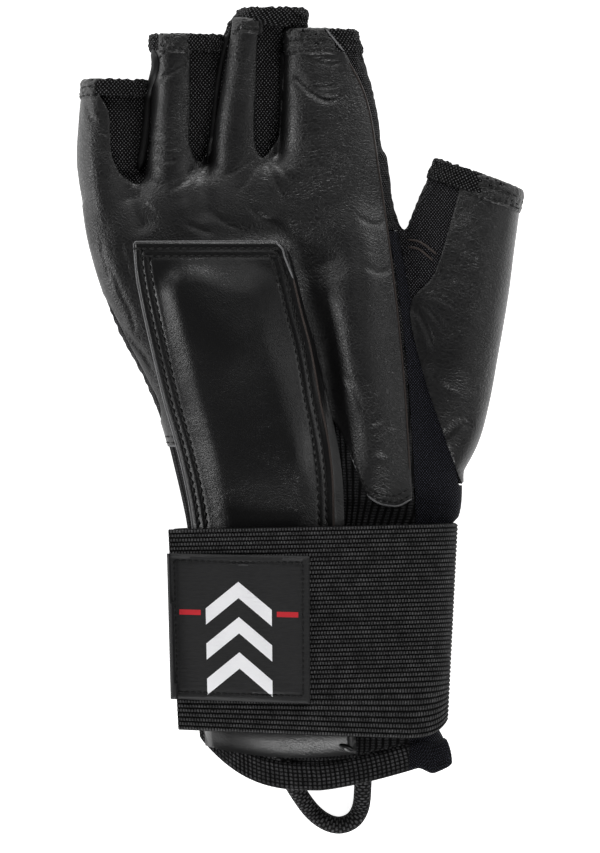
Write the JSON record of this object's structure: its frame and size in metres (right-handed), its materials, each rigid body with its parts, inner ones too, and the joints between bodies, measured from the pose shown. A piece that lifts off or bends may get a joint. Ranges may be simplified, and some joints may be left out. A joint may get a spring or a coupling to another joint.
{
  "type": "wrist guard glove",
  "caption": "Open-finger wrist guard glove for the right hand, lying palm up, with leather palm, splint cover, knit back, ribbed cuff and elastic wrist strap.",
  "frame": {"origin": "centre of the footprint on the surface that the glove's back lies on, its loose cord left out", "axes": "+X to the thumb side, +Y from the wrist to the finger tips, +Z out of the palm"},
  "size_m": [0.1424, 0.2648, 0.0352],
  "materials": {
    "leather": "pebbled, half gloss",
    "smooth_leather": "smooth, half gloss",
    "knit": "coarse knit, matte",
    "rib_knit": "ribbed knit, matte",
    "gusset": "fine stretch knit, matte",
    "elastic": "woven elastic, matte",
    "label": "woven label with a printed band",
    "cord": "braided, matte"
  },
  "bodies": {
    "root": {"palm_leather": "leather", "thumb_leather": "leather", "thumb_knit": "knit", "side_gusset": "gusset", "cuff": "rib_knit", "finger_gusset_1": "knit", "finger_gusset_2": "knit", "finger_gusset_3": "knit", "hand_back": "knit", "gusset_hem": "gusset", "cuff_hem": "rib_knit", "little_hem": "knit", "ring_hem": "knit", "middle_hem": "knit", "index_hem": "knit", "thumb_hem": "knit", "splint_cover": "smooth_leather", "wrist_strap": "elastic", "strap_label": "label", "pull_loop": "cord"}
  },
  "joints": []
}
